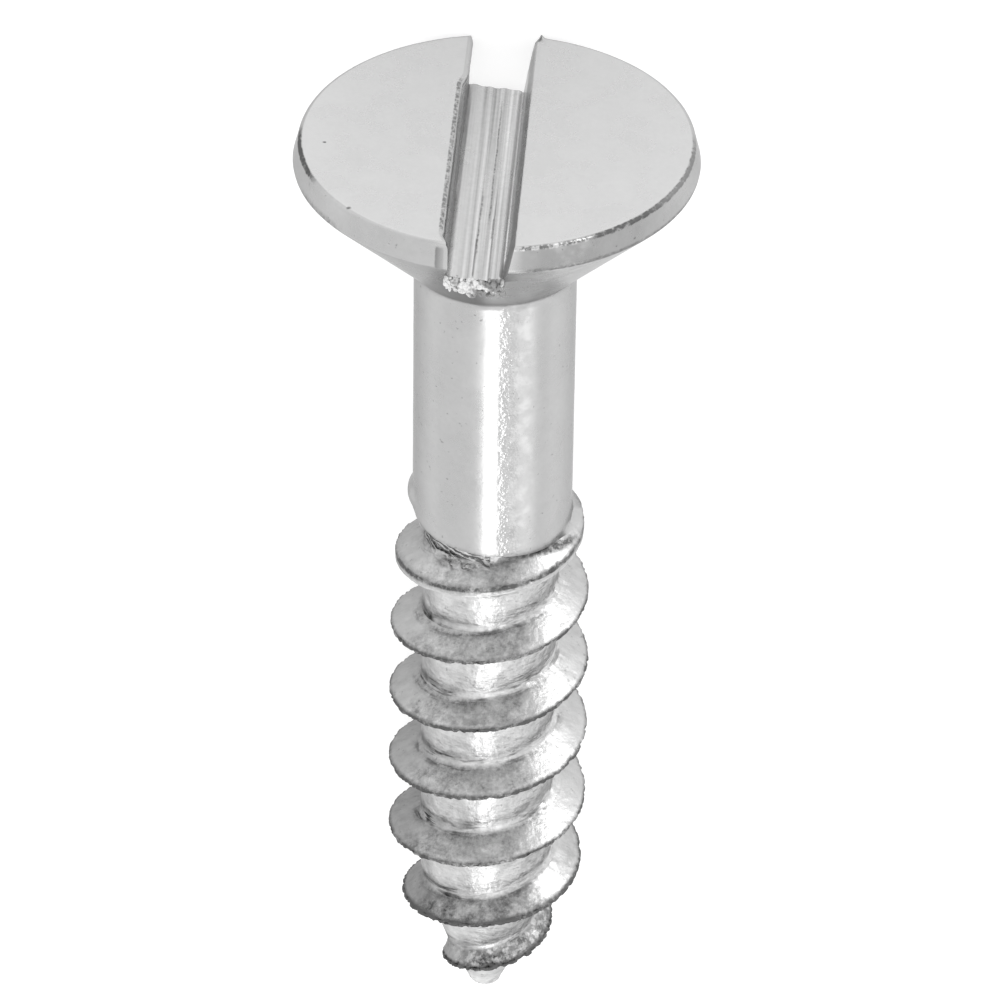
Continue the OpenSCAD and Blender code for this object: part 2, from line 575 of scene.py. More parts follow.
def thread_rule(net, size, angle, height):
    """Radius of the shank, thread and point at an angle and a height, and where
    that place is in the thread: near is its distance from a crest in turns."""
    start, end = thread_start(size), shank_end(net, size, angle)
    pitch, nub, core = size["Pitch"], size["Nub Radius"], size["Core Radius"]
    crest_line = size["Crest Height"] - pitch * (angle / TAU - 0.5)
    turns = (crest_line - height - late(net, size, height)) / pitch
    near = turns - net.maths("ROUND", turns)
    crest_z = height + near * pitch

    # The groove, thinner towards the nub
    nub_z = nub * 0.55

    def groove(z):
        part = net.clamp((z - nub_z) / (size["Point Length"] - nub_z))
        return core - (core - nub) * (1.0 - part) ** 1.35

    floor = groove(height)

    # The crest rises below the shank, sinks into it in front, and loses height
    # on the point
    full = size["Crest Radius"] - 0.4 * MM * net.growth((crest_z - start) / (1.4 * MM), 2.0)
    sinking = net.ramp(net.maths("COSINE", angle), 0.15, 0.45)
    sinking = sinking * net.ramp(net.maths("SINE", angle), -0.2, 0.1)
    sinking = sinking * net.ramp(crest_z - end, -0.15 * MM, 0.2 * MM)
    full = full - 0.15 * MM * sinking
    crest_mm = crest_z / MM
    kept = net.clamp(net.maths("MINIMUM", 0.5 + 0.1 * crest_mm, 0.55 * crest_mm - 0.156))
    on_point = groove(crest_z) + (size["Crest Radius"] - core) * kept
    crest = net.maths("MINIMUM", full, on_point)
    crest = floor + (crest - floor) * net.ramp(crest_z, 0.3 * MM, 0.65 * MM)

    # The thread in section, in turns from its crest: a straight flank above with
    # a fillet at its foot, and a hollow flank below. It is spread out where it
    # leaves the shank, and its first turn has a wider crest.
    half_crest, flank_slope, hollow = 0.026, 4.83, 0.28
    fillet_height, fillet_start, fillet_width = 0.14, 0.178, 0.064
    spread = 1.0 + 2.2 * net.growth((crest_z - start) / (0.3 * MM), 0.5)
    first = 0.08 * net.ramp(crest_z - start, -2.68 * MM, -1.88 * MM)
    above = net.maths("MAXIMUM", (-near - half_crest - first) / spread, 0.0)
    flank = 1.0 - flank_slope * above
    fillet = 1.0 - net.clamp((above - fillet_start) / fillet_width)
    fillet = fillet_height * fillet ** 2.2
    under = net.clamp((near - half_crest) / (hollow * spread))
    section = net.maths("MAXIMUM", flank, fillet) * (1.0 - under) ** 2.2
    ridge = floor + (crest - floor) * section

    # The shank and the worn shoulder at its end
    edge = 0.03 * MM
    worn = edge * net.growth((end - height) / (0.04 * MM), 0.0)
    drop = net.clamp(1.0 - (end - height) / (0.16 * MM)) ** 2.0
    shoulder = floor + (size["Shank Radius"] - edge - floor) * drop
    over = net.maths("GREATER_THAN", height, end)
    shank = net.either(over, size["Shank Radius"] - worn, shoulder)
    radius = net.maths("SMOOTH_MAX", ridge, shank, 0.05 * MM)

    # The blunt end
    end_part = net.clamp((nub_z - height) / nub_z)
    return {
        "radius": radius * net.maths("SQRT", net.clamp(1.0 - end_part * end_part)),
        "near": near,
        "first": first,
        "section": section,
        "end": end,
        "crest_z": crest_z,
    }


def thread_marks(net, rule, height):
    """Marks for the wear and the finish, by name. Distances past a crest are in
    turns, and less than 0 on the side of the head."""
    crest_z, end, first = rule["crest_z"], rule["end"], rule["first"]
    past = rule["near"] + first
    wide = 0.012 * net.ramp(crest_z, 5.0 * MM, 3.5 * MM)
    crest = net.ramp(past, -0.05 - wide, -0.02 - wide) * net.ramp(past, 0.075 - 0.3 * first, 0.035)
    foot = net.maths("EXPONENT", -(((past + 0.2) / 0.018) ** 2.0))
    started = net.ramp(crest_z - end, 0.3 * MM, -0.4 * MM)
    upper = net.ramp(rule["near"], 0.02, -0.02) * net.ramp(rule["section"], 0.05, 0.14)
    below = net.ramp(end - height, -0.02 * MM, 0.04 * MM)
    return {
        "crest": crest * started * net.ramp(crest_z, 0.45 * MM, 0.65 * MM),
        "flank": upper * below,
        "section": rule["section"],
        "skirt": net.band(past, (-0.42, -0.3), (-0.2, -0.16)) * started,
        "foot": foot * started * net.ramp(crest_z, 1.0 * MM, 2.0 * MM),
        "rolled": below,
        "below_end": (end - height) / MM,
    }


def wear(net, size, skin):
    """Keeps each point's own place on the screw, then chips the crests, dents the
    rolled part, mills the slot's floor and wears the slot's left edge."""
    place = net.add("GeometryNodeInputPosition")
    x, y, z = net.parts(place)
    held = skin
    for name, value in (("own_x", x), ("own_y", y), ("own_z", z)):
        held = net.store(held, name, value / MM)
    rolled, crest, face = net.kept("rolled"), net.kept("crest"), net.kept("face")
    wall, floor = net.kept("wall"), net.kept("floor")
    low_end = net.ramp(z, 5.0 * MM, 1.0 * MM)
    depth = size["Face Height"] - z

    # Dents of the rolling dies, and chipped crests, rougher towards the point
    dents = net.noise(place, 0.55 * MM, 3.0, 0.55, 1.0) - 0.5
    fine = net.noise(place, 0.14 * MM, 2.0, 0.5, 2.0) - 0.5
    chips = net.ramp(net.noise(place, 0.13 * MM, 3.0, 0.6, 3.0), 0.42, 0.7)
    rings = net.noise(net.stretched(x, y, z, 7.0), 0.5 * MM, 3.0, 0.6, 4.0) - 0.5
    calm = 1.0 - 0.5 * net.kept("flank") * (1.0 - low_end)
    push = rolled * calm * (dents * 0.07 + fine * 0.03 + rings * 0.03)
    sets = net.ramp(net.noise(place, 0.5 * MM, 2.0, 0.5, 15.0), 0.42, 0.62)
    push = push - crest * chips * (0.03 + 0.05 * sets + 0.06 * low_end)
    push = push - net.kept("foot") * chips * 0.03

    # Chipped corners at the far end of the slot
    corner_y, corner_reach = -4.54, 0.34
    for corner_x, deep in ((-0.67, 0.14), (0.93, 0.10)):
        away = net.maths("ABSOLUTE", x / MM - corner_x) + net.maths("ABSOLUTE", y / MM - corner_y)
        away = away + net.maths("ABSOLUTE", depth / MM)
        push = push - deep * net.ramp(away, corner_reach, 0.0)

    # Milling marks along the slot's floor, its rough walls and a faint dent here
    # and there on the smooth parts
    cut = 0.35 + 0.65 * net.ramp(x, 0.6 * MM, 0.35 * MM)
    push = push + floor * (1.0 - wall) * (net.milling(x, y, MM) - 0.5) * cut * 0.06
    push = push + wall * (1.0 - face) * fine * 0.03
    push = push + (1.0 - rolled) * (1.0 - face) * (1.0 - floor) * dents * 0.012
    normal = net.add("GeometryNodeInputNormal")
    pushed = {"Vector": normal, "Scale": push * MM}
    pushed = net.add("ShaderNodeVectorMath", {"operation": "SCALE"}, pushed)

    # The slot's left edge, worn sideways towards both ends
    far = net.ramp(y, -2.3 * MM, -2.8 * MM) * net.ramp(depth, 0.4 * MM, 0.1 * MM)
    front = net.ramp(y, 4.0 * MM, 4.4 * MM) * net.ramp(depth, 1.0 * MM, 0.6 * MM)
    shift = -0.12 * MM * net.around(x, 1.02 * MM, 0.35 * MM) * (far + 0.9 * front)
    shift = net.add("ShaderNodeCombineXYZ", None, {"X": shift})
    offset = net.add("ShaderNodeVectorMath", {"operation": "ADD"}, {0: pushed, 1: shift})
    return net.add("GeometryNodeSetPosition", None, {"Geometry": held, "Offset": offset})


def new_tree(name, given, made, inputs):
    """A Geometry Nodes tree that takes one geometry and makes another, with
    named inputs."""
    tree = bpy.data.node_groups.new(name, "GeometryNodeTree")
    tree.is_modifier = True
    sockets = tree.interface
    sockets.new_socket(given, in_out="INPUT", socket_type="NodeSocketGeometry")
    sockets.new_socket(made, in_out="OUTPUT", socket_type="NodeSocketGeometry")
    for label, (kind, value) in inputs.items():
        socket = sockets.new_socket(label, in_out="INPUT", socket_type=kind)
        if kind != "NodeSocketMaterial":
            socket.default_value = value
    net = Net(tree)
    source = net.add("NodeGroupInput")
    return net, source.output(given), {label: source.output(label) for label in inputs}


def finish_tree(net, geometry, steel):
    """Ends a tree: real geometry with its steel on."""
    real = net.add("GeometryNodeRealizeInstances", None, {"Geometry": geometry})
    clad = net.add("GeometryNodeSetMaterial", None, {"Geometry": real, "Material": steel})
    net.add("NodeGroupOutput", None, {0: clad})


def screw_tree(inputs):
    """Geometry Nodes tree: takes the head, adds the shank, the thread and the
    point, joins them into one skin, wears it and gives it its steel."""
    net, head, size = new_tree("Rolled Thread", "Head", "Screw", inputs)

    def sheet(rows):
        """A flat grid with its two places from 0 to 1."""
        counts = {"Vertices X": size["Columns"] + 1.0, "Vertices Y": rows + 1.0}
        grid = net.add("GeometryNodeMeshGrid", None, {"Size X": 1.0, "Size Y": 1.0, **counts})
        across, along, _ = net.parts(net.add("GeometryNodeInputPosition"))
        return grid, across + 0.5, along + 0.5

    def rolled(grid, angle, height):
        """The grid bent round the screw by the thread's rule. Its marks are kept
        before it moves, because they read its places."""
        rule = thread_rule(net, size, angle, height)
        # The rolled part runs a little out of true with the shank
        lean = 0.04 * MM * net.ramp(rule["end"] - height, 0.0, 4.0 * MM)
        x = rule["radius"] * net.maths("SINE", angle) + lean
        y = rule["radius"] * net.maths("COSINE", angle)
        place = net.add("ShaderNodeCombineXYZ", None, {"X": x, "Y": y, "Z": height})
        for name, value in thread_marks(net, rule, height).items():
            grid = net.store(grid, name, value)
        return net.add("GeometryNodeSetPosition", None, {"Geometry": grid, "Position": place})

    # The thread: rows follow the helix and crowd at the crests. Rows beyond
    # either end of the rolled part collapse onto that end.
    grid, across, along = sheet(size["Rows per Turn"] * GRID_TURNS)
    turn = along * GRID_TURNS
    crowded = turn - 0.75 / TAU * net.maths("SINE", turn * TAU)
    angle = across * TAU
    height = size["Crest Height"] + size["Pitch"] * (TURNS_ABOVE - crowded - across)
    height = net.maths("MAXIMUM", height - late(net, size, height), 0.0)
    height = net.maths("MINIMUM", height, shank_end(net, size, angle))
    thread = rolled(grid, angle, height)

    # The shank: level rings from the shank's end up to the head's ring
    grid, across, along = sheet(size["Shank Rows"])
    angle = across * TAU
    end = shank_end(net, size, angle)
    shank = rolled(grid, angle, end + (size["Ring Height"] - end) * along)

    join = net.tree.nodes.new("GeometryNodeJoinGeometry")
    for part in (head, thread, shank):
        net.tree.links.new(part.socket, join.inputs[0])
    joined = Field(net, join.outputs[0])
    merged = net.add("GeometryNodeMergeByDistance", None, {"Geometry": joined, "Distance": 2e-7})
    finish_tree(net, wear(net, size, merged), size["Steel"])
    return net.tree


def grown(blank, tree, values, head):
    """What the tree makes of a mesh, as a plain mesh laid on the table."""
    holder = show("blank", blank)
    modifier = holder.modifiers.new(tree.name, "NODES")
    modifier.node_group = tree
    ids = {i.name: i.identifier for i in tree.interface.items_tree if i.item_type == "SOCKET"}
    for name, (_, value) in values.items():
        modifier[ids[name]] = value
    bpy.context.view_layer.update()
    depsgraph = bpy.context.evaluated_depsgraph_get()
    mesh = bpy.data.meshes.new_from_object(holder.evaluated_get(depsgraph))
    holder.modifiers.remove(modifier)
    bpy.data.objects.remove(holder)
    mesh.transform(lying(head))
    return mesh


# --------------------------------------------------------------- the slot's burr


def burr_inputs(head, steel):
    """Named inputs of the burr's tree."""
    right, left = wall_foot(head, -1), wall_foot(head, 1)
    level = (right[1] + left[1]) / 2
    sizes = {
        "Right": right[0],
        "Left": left[0],
        "Level": level,
        "Reach": head.radius - (head.screw_length - head.rim_height - level),
        "Hang": 0.9 * MM,
        "Lift": 0.2 * MM,
        "Crumb": 0.075 * MM,
    }
    return named(sizes, {"Crumbs": 150, "Seed": 4}, steel)


def burr_tree(inputs):
    """Geometry Nodes tree: crumbs of torn metal that hang from the front end of
    the slot over the cone."""
    net, _, size = new_tree("Slot Burr", "Blank", "Burr", inputs)

    def chance(low, high, seed, kind="FLOAT"):
        """A random value for each crumb, from a fixed seed."""
        first, out = {"FLOAT": (2, 1), "FLOAT_VECTOR": (0, 0)}[kind]
        keys = {first: low, first + 1: high, 8: size["Seed"] + float(seed)}
        return net.add("FunctionNodeRandomValue", {"data_type": kind}, keys, out)

    across = chance(0.0, 1.0, 1)
    hang = chance(0.0, 1.0, 2) ** 2.0 * size["Hang"]
    lift = chance(0.0, 1.0, 3) * size["Lift"]
    x = size["Right"] + (size["Left"] - size["Right"]) * across
    radius = size["Reach"] - CONE_SLOPE * hang
    y = radius - 0.5 * x * x / radius + CONE_SLOPE * lift
    z = size["Level"] - CONE_SLOPE * hang - CONE_SLOPE * lift
    place = net.add("ShaderNodeCombineXYZ", None, {"X": x, "Y": y, "Z": z})
    line = {"Count": size["Crumbs"], "Offset": (MM, 0.0, 0.0)}
    line = net.add("GeometryNodeMeshLine", {"mode": "OFFSET"}, line)
    ball = {"Radius": size["Crumb"], "Subdivisions": 2}
    strewn = net.add(
        "GeometryNodeInstanceOnPoints",
        None,
        {
            "Points": net.add(
                "GeometryNodeSetPosition", None, {"Geometry": line, "Position": place}
            ),
            "Instance": net.add("GeometryNodeMeshIcoSphere", None, ball),
            "Rotation": chance((0.0, 0.0, 0.0), (TAU, TAU, TAU), 4, "FLOAT_VECTOR"),
            "Scale": chance((0.6, 0.4, 0.4), (1.6, 1.1, 1.0), 5, "FLOAT_VECTOR"),
        },
    )

    # Each crumb is torn out of round, and keeps its place for the finish
    real = net.add("GeometryNodeRealizeInstances", None, {"Geometry": strewn})
    here = net.add("GeometryNodeInputPosition")
    own_x, _, own_z = net.parts(here)
    held = net.store(real, "own_x", own_x / MM)
    held = net.store(held, "own_z", (own_z - size["Level"]) / MM)
    rough = net.noise(here, 0.06 * MM, 2.0, 0.6, 21.0) - 0.5
    offset = {"Vector": net.add("GeometryNodeInputNormal"), "Scale": rough * 0.9 * size["Crumb"]}
    offset = net.add("ShaderNodeVectorMath", {"operation": "SCALE"}, offset)
    torn = net.add("GeometryNodeSetPosition", None, {"Geometry": held, "Offset": offset})
    finish_tree(net, torn, size["Steel"])
    return net.tree


# ------------------------------------------------------------------- the finish


# Single pits: each one's x, y and depth below the face, and its reach
PITS = (
    ((3.17, 3.17, 0.0), 0.08),
    ((3.94, 0.47, 0.0), 0.045),
    ((1.5, 0.9, 10.62), 0.3),
    ((0.83, -3.3, 1.0), 0.07),
    ((0.93, -2.6, 0.55), 0.12),
)


class Surface:
    """What the finish reads at a point: its own place on the screw, its angle
    round the axis, its marks and the noises that are shared. Sizes in the finish
    are in millimetres. Heights, z, count from the point, and depths from the
    face. The upper side of the lying screw is the front, at angle 0, and angles
    grow towards the left."""

    def __init__(self, net, length, pitch):
        self.net = net
        self.x, self.y, self.z = (self.mark(name) for name in ("own_x", "own_y", "own_z"))
        place = {"X": self.x, "Y": self.y, "Z": self.z}
        self.place = net.add("ShaderNodeCombineXYZ", None, place)
        self.depth = length - self.z
        self.angle = net.maths("ARCTAN2", self.x, self.y)
        self.radius = net.maths("SQRT", self.x * self.x + self.y * self.y)
        self.face, self.flank = self.mark("face"), self.mark("flank")
        self.rolled, self.section = self.mark("rolled"), self.mark("section")
        self.low = net.ramp(self.z, 5.0, 3.6)
        self.mottle = self.noise(0.9, 4.0, 0.6, 3.0)
        self.fine = self.noise(0.12, 3.0, 0.6, 5.0)
        self.ragged = self.noise(0.10, 3.0, 0.65, 13.0)
        self.clusters = net.ramp(self.noise(0.6, 2.0, 0.5, 24.0), 0.4, 0.6)
        level = net.stretched(self.x, self.y, self.z, 6.0)
        self.streaks = net.noise(level, 0.5, 4.0, 0.65, 14.0) - 0.5
        self.laps = self.lap_lines()
        self.drawn = self.drawn_lines(pitch)

    def mark(self, name):
        """A number kept on the mesh under a name."""
        return self.net.add("ShaderNodeAttribute", {"attribute_name": name}, out="Fac")

    def noise(self, size, detail, roughness, seed):
        """Noise fixed to the screw."""
        return self.net.noise(self.place, size, detail, roughness, seed)

    def broken(self, shape, weight, spread):
        """A shape with ragged gaps: fewer with more weight, harder with spread."""
        return self.net.clamp(shape * (weight + spread * (self.ragged - 0.5)))

    def lap_lines(self):
        """Lapped metal below the shank's end, in thin slanting lines on the left."""
        net, below = self.net, self.mark("below_end")
        wander = self.noise(0.5, 2.0, 0.5, 16.0) - 0.5
        apart = 0.14
        lines = net.maths("SINE", (below + 0.2 * self.angle + 0.4 * wander) * (TAU / apart))
        lines = lines * net.band(below, (0.0, 0.03), (0.55, 0.8))
        lines = lines * net.ramp(self.noise(0.22, 2.0, 0.6, 27.0), 0.36, 0.5)
        lines = lines * net.ramp(self.section, 0.45, 0.2)
        return lines * net.band(self.angle, (-0.2, 0.15), (1.2, 1.45))

    def drawn_lines(self, pitch):
        """Thin lines that the dies drew along the foot of each flank."""
        net = self.net
        wound = {"X": self.z + self.angle * (pitch / TAU), "Y": self.radius, "Z": 0.25 * self.angle}
        wound = net.add("ShaderNodeCombineXYZ", None, wound)
        lines = net.ramp(net.noise(wound, 0.11, 2.0, 0.6, 26.0), 0.5, 0.62)
        lines = lines * net.ramp(self.y, -0.2, 0.4) * self.mark("skirt")
        return lines * (0.3 + 0.7 * self.clusters)


def smooth_tone(net, at, finish):
    """The clean plating of the shank and the head: mottled, with small dark
    spots, painted shade towards the left side, and a painted highlight in a
    paler, blotched strip to the right of the middle."""
    spots = net.ramp(at.noise(0.11, 2.0, 0.5, 18.0), 0.68, 0.74) * (1.0 - at.face)
    painted_sheen_blobs = net.ramp(at.noise(0.35, 2.0, 0.5, 19.0), 0.42, 0.65)
    strip = net.band(at.angle, (-0.62, -0.48), (-0.3, -0.2))
    tone = finish.tone + 0.10 * (at.mottle - 0.5) + 0.06 * (at.fine - 0.5)
    # Painted shade: darker towards the left side
    tone = tone - 0.05 * net.ramp(at.angle, 0.6, 1.2) - 0.16 * spots
    # Painted highlight: a paler, blotched strip to the right of the middle
    tone = tone + strip * (0.09 * painted_sheen_blobs - 0.02)
    face = finish.face_tone + 0.08 * (at.mottle - 0.5) + 0.05 * (at.fine - 0.5)
    return net.either(at.face, face, tone)


def root_tone(net, at, finish):
    """The grooves: pale and streaked along the turns, darker where the dies
    swept round on the right and under the laps, with painted shade towards
    the left side and at the feet of the flanks there."""
    blotch = at.noise(0.3, 4.0, 0.7, 7.0) - 0.5
    swept = net.band(at.angle, (-1.4, -1.1), (-0.5, -0.2))
    swept = swept * (0.26 * net.ramp(at.streaks, 0.02, 0.16) + 0.22 * net.ramp(blotch, 0.0, 0.15))
    tone = finish.tone + 0.12 + 0.6 * blotch + 0.3 * at.streaks
    tone = tone - 0.3 * net.ramp(-at.laps, 0.3, 0.9) - 0.3 * at.drawn - swept
    # Painted shade: the grooves darker towards the left side, and at the feet of the flanks on the
    # left
    tone = tone - 0.14 * net.ramp(at.angle, 0.7, 1.1)
    return tone - 0.16 * at.mark("skirt") * net.ramp(at.angle, 0.1, 0.6)


def flank_tone(net, at, finish):
    """The flanks on the side of the head: patchy and soiled in front, with
    painted shade there, clean and brightened by painted light on the right,
    and painted shade towards the point on the left."""
    # Painted shade: the flanks on the left darker towards the point
    film = 1.0 - 0.4 * net.ramp(at.z, 12.5, 2.5) * net.ramp(at.angle, 0.1, 0.9)
    grain = at.noise(0.08, 2.0, 0.7, 25.0) - 0.5
    patches = at.noise(0.3, 4.0, 0.65, 8.0) - 0.5
    front = net.ramp(at.y, 0.9, 1.7)
    clean = net.ramp(at.angle, -0.42, -0.58) * net.ramp(at.z, 3.6, 5.0)
    soiled = front * (1.0 - clean)
    first_turns = net.band(at.z, (9.0, 11.0), (12.4, 12.8))
    busy = 0.25 + 0.5 * soiled + 0.4 * at.low * net.ramp(at.angle, 0.6, 0.3)
    # Painted light: the clean flanks on the right a touch paler
    tone = finish.flank_tone * film + 0.06 * clean - 0.25 * at.drawn
    # Painted shade: the flanks in front darker on the last turns and the first turns
    tone = tone - 0.05 * front * (3.0 * at.low + first_turns)
    return tone + busy * patches + 0.45 * soiled * grain


def rolled_tone(net, at, finish, tone):
    """The rolled part: grooves, flanks, specks, a rough last turn and the nub."""
    tone = net.either(at.rolled, root_tone(net, at, finish), tone)
    tone = net.either(at.flank, flank_tone(net, at, finish), tone)
    specks = net.ramp(at.noise(0.16, 3.0, 0.65, 6.0), 0.60, 0.72)
    tone = net.either(at.rolled * specks * 0.5, finish.specks_lines_and_shade_tone, tone)
    last_turn = net.band(at.z, (0.35, 0.7), (2.0, 2.9)) * net.ramp(at.section, 0.05, 0.3)
    left = net.ramp(at.angle, 0.2, 0.8)
    crumbs = at.noise(0.13, 3.0, 0.6, 12.0)
    dark = net.ramp(crumbs, 0.42, 0.55) * (1.0 - 0.8 * left)
    tone = tone + last_turn * (0.2 * net.ramp(crumbs, 0.42, 0.3) - 0.2 * dark + 0.08 * left)
    return tone + 0.12 * net.ramp(at.z, 0.7, 0.3) * at.rolled


def crest_lines_and_painted_shade(net, at):
    """Dark lines along the crests, and painted shade at the feet of the flanks
    in front and just below the shank's end, in front."""
    # Painted shade on the upper side only: in the crease at each flank's foot, and just below the
    # shank's end
    shown = net.ramp(at.y + 0.7 * net.ramp(at.x, 0.5, 1.2), 0.6, 1.2)
    foot = at.mark("foot") * shown * (0.45 + 0.55 * at.clusters)
    painted_shade_below_end = at.rolled * net.ramp(at.mark("below_end"), 0.2, 0.08) * net.ramp(at.y, 0.3, 0.9)
    thick = 0.67 + 0.45 * at.clusters + 0.25 * at.low
    crest_lines_and_shade = at.broken(at.mark("crest"), thick, 2.4) + at.broken(foot, 0.52, 3.0)
    return net.clamp(crest_lines_and_shade + at.broken(painted_shade_below_end, 0.9, 3.0))


def rim_tone(net, at, tone):
    """The cone and the rim, with a painted reflection on the cone in front and to
    the right and painted shade on its left, painted shade on the rim's right
    side and in its lower corner, a painted shadow beside the slot, and the
    face's edge: a painted highlight in front and a bruise on either side.
    Returns the bruises too."""
    angle = at.angle
    cone = net.band(at.depth, (0.56, 0.62), (3.0, 3.6)) * net.ramp(at.y, 0.5, 2.5)
    # Painted reflection on the cone in front and to the right, painted shade on its left
    painted_cone_sheen_and_shade = 0.3 - 0.36 * net.ramp(angle, -0.05, 0.15) - 0.22 * net.ramp(angle, -0.3, -0.5)
    tone = tone + cone * painted_cone_sheen_and_shade
    # Painted shadow on the rim beside the slot's left edge, at its front end
    painted_slot_shadow = net.around(at.x, 1.08, 0.1, 0.05) * net.band(at.depth, (0.05, 0.2), (0.55, 0.7))
    tone = net.either(at.broken(painted_slot_shadow * net.ramp(at.y, 4.0, 4.3), 1.525, 2.5), 0.1, tone)

    strayed = 0.1 * (at.ragged - 0.5) + 0.06 * (at.mottle - 0.5)
    radius, depth = at.radius + strayed, at.depth - strayed
    # Painted highlight along the face's edge in front, right of the slot
    bright = net.ramp(radius, 4.5, 4.53) * net.ramp(depth, 0.1, 0.06)
    bright = bright * net.band(angle, (-0.56, -0.5), (-0.1, -0.03))
    tone = tone + bright * (0.35 * net.ramp(at.ragged, 0.42, 0.55) - 0.2)
    # Painted shade: the rim darker on its right side
    right = net.band(angle, (-1.3, -0.9), (-0.2, -0.05))
    tone = tone - 0.1 * right * net.ramp(at.depth, 0.64, 0.58) * (1.0 - at.face)

    # Painted shade in the rim's lower corner, on the right and on the left
    corner = net.around(at.depth, 0.57, 0.09, 0.03) * net.band(angle, (-1.5, -1.2), (-0.24, -0.18))
    left = net.band(at.depth, (0.4, 0.55), (0.62, 0.68)) * net.band(angle, (0.75, 0.9), (1.1, 1.25))
    tone = net.either(at.broken(corner + 0.8 * left, 0.7, 4.0), 0.2, tone)

    edge = net.ramp(radius, 4.49, 4.53) * net.ramp(depth, 0.1, 0.05)
    sides = net.band(angle, (-1.75, -1.5), (-0.6, -0.52))
    sides = sides + net.band(angle, (1.05, 1.2), (1.5, 1.65))
    bruised = at.broken(edge * sides, 1.1, 2.4)
    return net.either(bruised, 0.12 + 0.12 * net.ramp(angle, -0.85, -1.15), tone), bruised


def slot_tone(net, at, finish, tone):
    """The slot: a milled floor with two gouges, walls with painted shade and
    light, the left one pale above and shaded below, the right one shaded above
    with a painted highlight along its foot, and a ragged dark line along the
    worn left edge."""
    strayed = at.x + 0.1 * (at.mottle - 0.5)
    gouges = net.around(strayed, 0.075, 0.03, 0.008) * net.band(at.y, (-3.6, -3.0), (1.2, 2.0))
    second = net.around(strayed, 0.286, 0.04, 0.01) * net.band(at.y, (0.2, 0.9), (2.8, 3.4))
    cut = 0.35 + 0.65 * net.ramp(at.x, 0.6, 0.35)
    floor = 0.53 + 0.8 * cut * (net.milling(at.x, at.y, 1.0) - 0.5) + 0.15 * (at.fine - 0.5)
    floor = floor - 0.3 * at.broken(gouges + second, 0.65, 3.0)
    tone = net.either(at.mark("floor"), floor, tone)

    uneven = 0.5 * (at.ragged - 0.5)
    depth = at.depth - uneven
    # Painted light and shade on the walls: the left one pale above and shaded below, the right one
    # shaded above with a painted highlight along its foot
    left = 0.62 - 0.28 * net.ramp(depth, 0.4, 0.7)
    right = 0.34 + 0.5 * net.ramp(depth, 0.6, 0.85) * net.ramp(at.y, 3.6, 3.0)
    wall = net.either(net.ramp(at.x, 0.2, 0.3), left, right) + uneven
    inside = net.ramp(at.depth, 0.05, 0.15) * net.around(at.y, 0.0, 4.5, 4.1)
    wall = net.either(inside, wall, finish.tone + 0.04)
    tone = net.either(at.mark("wall") * (1.0 - at.face), wall, tone)

    scored = net.around(at.x, 1.035, 0.06, 0.03) * net.ramp(at.depth, 0.2, 0.15)
    scored = scored * net.band(at.y, (-2.7, -2.3), (3.8, 4.0))
    return net.either(at.broken(scored, 0.55, 5.0), 0.2, tone)


def pitted(net, at, tone):
    """The tone with the single pits in it."""
    place = net.add("ShaderNodeCombineXYZ", None, {"X": at.x, "Y": at.y, "Z": at.depth})
    for spot, reach in PITS:
        ends = {0: place, 1: spot}
        gap = net.add("ShaderNodeVectorMath", {"operation": "DISTANCE"}, ends, "Value")
        tone = net.either(net.ramp(gap + 0.12 * (at.fine - 0.5), reach, 0.3 * reach), 0.14, tone)
    return tone


def relief(net, at):
    """Height of the finish: lumps on the rolled part, the laps, and fine pits
    beside the middle of the shank."""
    bumps = at.noise(0.10, 3.0, 0.55, 9.0)
    hollow = at.noise(0.3, 2.0, 0.5, 11.0)
    rough = at.rolled * (1.0 - 0.6 * at.flank) * net.ramp(at.z, 0.3, 0.8)
    lumps = (0.002 + 0.014 * rough) * bumps + 0.02 * rough * (hollow + 0.5 * at.streaks)
    strip = net.band(at.angle, (-0.5, -0.2), (-0.15, -0.11)) * net.ramp(at.depth, 3.2, 3.7)
    pits = at.noise(0.14, 2.0, 0.6, 17.0) - 0.5
    return (lumps + 0.016 * at.laps + 0.035 * strip * (1.0 - at.rolled) * pits) * MM


def new_material(name):
    """An empty node material."""
    material = bpy.data.materials.new(name)
    material.use_nodes = True
    material.node_tree.nodes.clear()
    return material, Net(material.node_tree)


def grey_steel(net, grey, inputs):
    """Ends a material: one shader of this grey, with its other inputs."""
    colour = net.add("ShaderNodeCombineColor", None, {0: grey, 1: grey, 2: grey})
    steel = net.add("ShaderNodeBsdfPrincipled", None, {"Base Color": colour, **inputs})
    net.add("ShaderNodeOutputMaterial", None, {"Surface": steel})


def plated_steel(finish, length, pitch):
    """Satin zinc plating: light where it is smooth, darker on the thread's
    flanks, with painted light and shade on the rim, the cone and in the slot,
    painted shade in the thread's creases, and nearly black along the crests."""
    material, net = new_material("plated_steel")
    at = Surface(net, length, pitch)
    tone = rolled_tone(net, at, finish, smooth_tone(net, at, finish))
    # Dark crest lines, and painted shade in the creases and below the shank's end
    crest_lines_and_shade = crest_lines_and_painted_shade(net, at)
    tone = net.either(crest_lines_and_shade, finish.specks_lines_and_shade_tone, tone)
    tone, bruised = rim_tone(net, at, tone)
    tone = pitted(net, at, slot_tone(net, at, finish, tone))
    rough = finish.roughness + 0.12 * (at.mottle - 0.5)
    rough = rough + 0.25 * crest_lines_and_shade + 0.08 * at.rolled + 0.4 * bruised
    height = {"Strength": 1.0, "Distance": 1.0, "Height": relief(net, at)}
    inputs = {
        "Metallic": 1.0,
        "Roughness": net.clamp(rough),
        "Specular Tint": (0.65, 0.65, 0.65, 1.0),
        "Normal": net.add("ShaderNodeBump", None, height),
    }
    grey_steel(net, net.clamp(tone, 0.03, 0.96), inputs)
    return material


